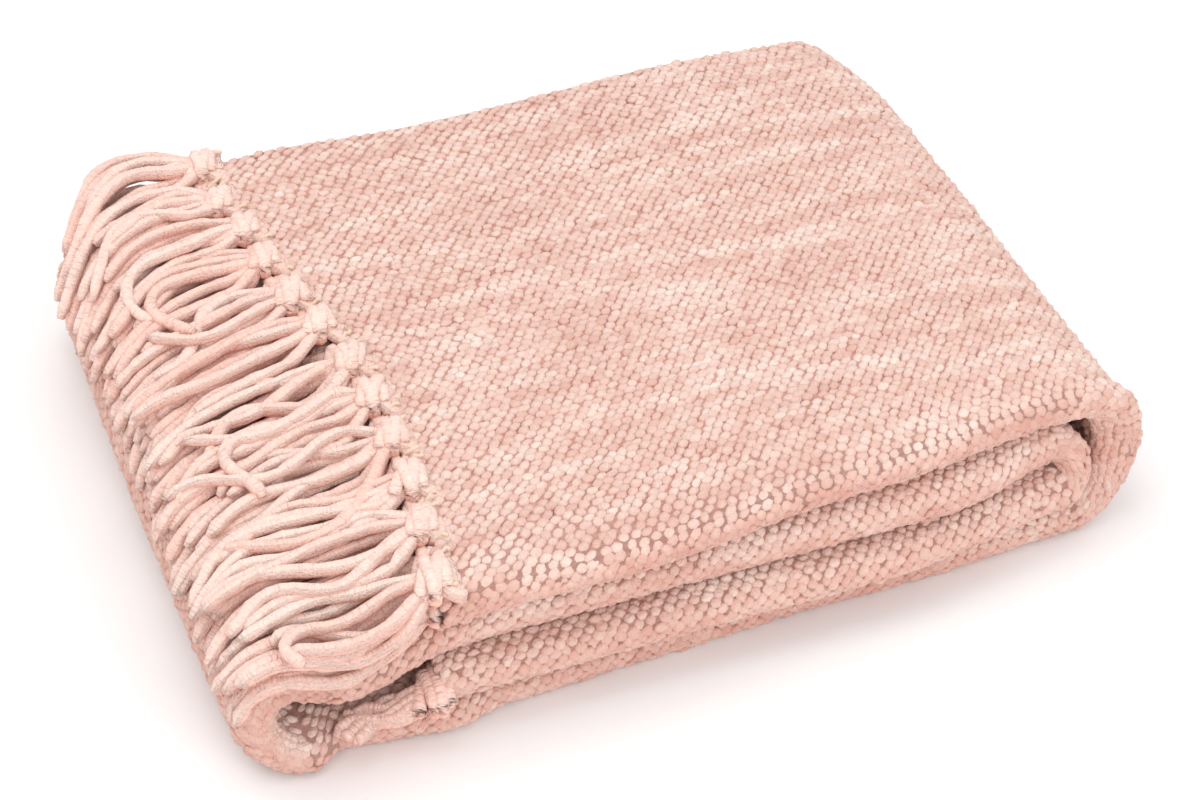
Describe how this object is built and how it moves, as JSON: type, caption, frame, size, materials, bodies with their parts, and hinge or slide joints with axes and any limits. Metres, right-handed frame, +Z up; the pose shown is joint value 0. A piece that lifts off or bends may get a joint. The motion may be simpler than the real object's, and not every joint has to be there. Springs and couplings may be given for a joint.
{
  "type": "folded chenille blanket",
  "caption": "Fringed chenille throw folded into a flat rectangular stack, with knotted tassels lying over one short side.",
  "frame": {"origin": "centre of the bounding box in plan, on the surface the blanket lies on", "axes": "+X along the front fold from the left turn to the right turn, +Y from the front fold to the back, +Z up"},
  "size_m": [0.5352, 0.4252, 0.1141],
  "materials": {
    "chenille_cloth": "blush pink woven chenille, matt with a velvety pile",
    "chenille_yarn": "blush pink chenille yarn, matt with a velvety pile"
  },
  "bodies": {
    "root": {"cloth": "chenille_cloth", "tassel_upper_1": "chenille_yarn", "tassel_upper_2": "chenille_yarn", "tassel_upper_3": "chenille_yarn", "tassel_upper_4": "chenille_yarn", "tassel_upper_5": "chenille_yarn", "tassel_upper_6": "chenille_yarn", "tassel_upper_7": "chenille_yarn", "tassel_upper_8": "chenille_yarn", "tassel_upper_9": "chenille_yarn", "tassel_upper_10": "chenille_yarn", "tassel_upper_11": "chenille_yarn", "tassel_upper_12": "chenille_yarn", "tassel_middle_1": "chenille_yarn", "tassel_middle_2": "chenille_yarn", "tassel_middle_3": "chenille_yarn", "tassel_middle_4": "chenille_yarn", "tassel_middle_5": "chenille_yarn", "tassel_middle_6": "chenille_yarn", "tassel_middle_7": "chenille_yarn", "tassel_middle_8": "chenille_yarn", "tassel_middle_9": "chenille_yarn", "tassel_middle_10": "chenille_yarn", "tassel_middle_11": "chenille_yarn", "tassel_lower_1": "chenille_yarn", "tassel_lower_2": "chenille_yarn", "tassel_lower_3": "chenille_yarn", "tassel_lower_4": "chenille_yarn", "tassel_lower_5": "chenille_yarn", "tassel_lower_6": "chenille_yarn", "tassel_lower_7": "chenille_yarn", "tassel_lower_8": "chenille_yarn", "tassel_lower_9": "chenille_yarn", "tassel_lower_10": "chenille_yarn", "tassel_lower_11": "chenille_yarn", "tassel_lower_12": "chenille_yarn", "inside_fringe_outer": "chenille_yarn", "inside_fringe_middle": "chenille_yarn", "inside_fringe_under": "chenille_yarn"}
  },
  "joints": []
}
